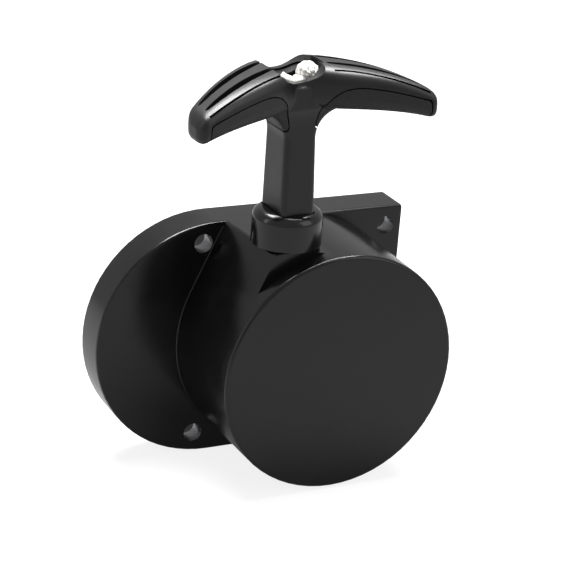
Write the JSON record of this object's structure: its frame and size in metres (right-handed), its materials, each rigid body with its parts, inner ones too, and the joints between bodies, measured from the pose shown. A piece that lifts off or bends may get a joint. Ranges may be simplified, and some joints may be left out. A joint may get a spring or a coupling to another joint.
{
  "type": "recoil starter",
  "caption": "Hand-pulled recoil starter: cast drum with a lobed mounting flange, a swept T-grip on a rope, and a sprung rope reel with a swinging pawl clutch.",
  "frame": {"origin": "centre of the bounding box's base: midway across X and Y, lowest point of the flange at Z = 0", "axes": "+Y is the outward normal of the mounting face that bolts against the engine's blower housing, so the closed front of the drum looks along -Y; +Z is the way the rope is pulled; +X is across, away from the flange's round end"},
  "size_m": [0.1372, 0.0718, 0.1761],
  "materials": {
    "painted_casting": "satin black paint on cast aluminium",
    "gloss_plastic": "glossy black",
    "steel": "zinc plated",
    "spring_steel": "oiled blue spring steel",
    "nylon": "natural nylon",
    "bronze": "sintered bronze",
    "rope": "braided cord",
    "matt_plastic": "matt moulded",
    "soft_grip": "fine-grained soft grip"
  },
  "bodies": {
    "case": {"housing": "painted_casting", "collar": "gloss_plastic", "rope_eyelet": "steel", "spring_cup": "steel", "recoil_spring": "spring_steel", "rope_run": "rope", "thrust_washer": "steel", "friction_spring": "spring_steel", "retaining_washer": "steel", "centre_bolt": "steel"},
    "reel_group": {"reel": "nylon", "reel_bush": "bronze", "rope_coil": "rope", "rope_end": "rope", "pawl_pin_1": "steel", "pawl_pin_2": "steel", "pawl_spring_1": "spring_steel", "pawl_spring_2": "spring_steel"},
    "guide_group": {"ratchet_guide": "nylon"},
    "pawl_1_group": {"pawl_1": "steel"},
    "pawl_2_group": {"pawl_2": "steel"},
    "grip": {"handle_core": "matt_plastic", "grip_pad_left": "soft_grip", "grip_pad_right": "soft_grip", "rope_knot": "rope", "rope_pull": "rope"}
  },
  "joints": [
    {"name": "handle_pull", "type": "slide", "parent": "case", "child": "grip", "axis": [0, 0, 1], "range_m": [0, 0.65], "stiffness_N_per_m": 20, "springref_m": -0.4, "deforming": ["rope_pull"]},
    {"name": "reel_spin", "type": "hinge", "parent": "case", "child": "reel_group", "pos_m": [0.0175, 0, 0.0511], "axis": [0, 1, 0], "range_deg": [0, 1400], "deforming": ["recoil_spring"]},
    {"name": "guide_swing", "type": "hinge", "parent": "reel_group", "child": "guide_group", "pos_m": [0.0175, 0, 0.0511], "axis": [0, -1, 0], "range_deg": [0, 20], "stiffness_Nm_per_rad": 0.02, "springref_deg": -11.46},
    {"name": "pawl_1_swing", "type": "hinge", "parent": "reel_group", "child": "pawl_1_group", "pos_m": [0.0175, 0, 0.0751], "axis": [0, -1, 0], "range_deg": [0, 20]},
    {"name": "pawl_2_swing", "type": "hinge", "parent": "reel_group", "child": "pawl_2_group", "pos_m": [0.0175, 0, 0.0271], "axis": [0, -1, 0], "range_deg": [0, 20]}
  ],
  "couplings": [
    {"joint": "reel_spin", "follows": "handle_pull", "rad_per_m": 37.17},
    {"joint": "pawl_1_swing", "follows": "guide_swing", "ratio": 1},
    {"joint": "pawl_2_swing", "follows": "guide_swing", "ratio": 1}
  ]
}
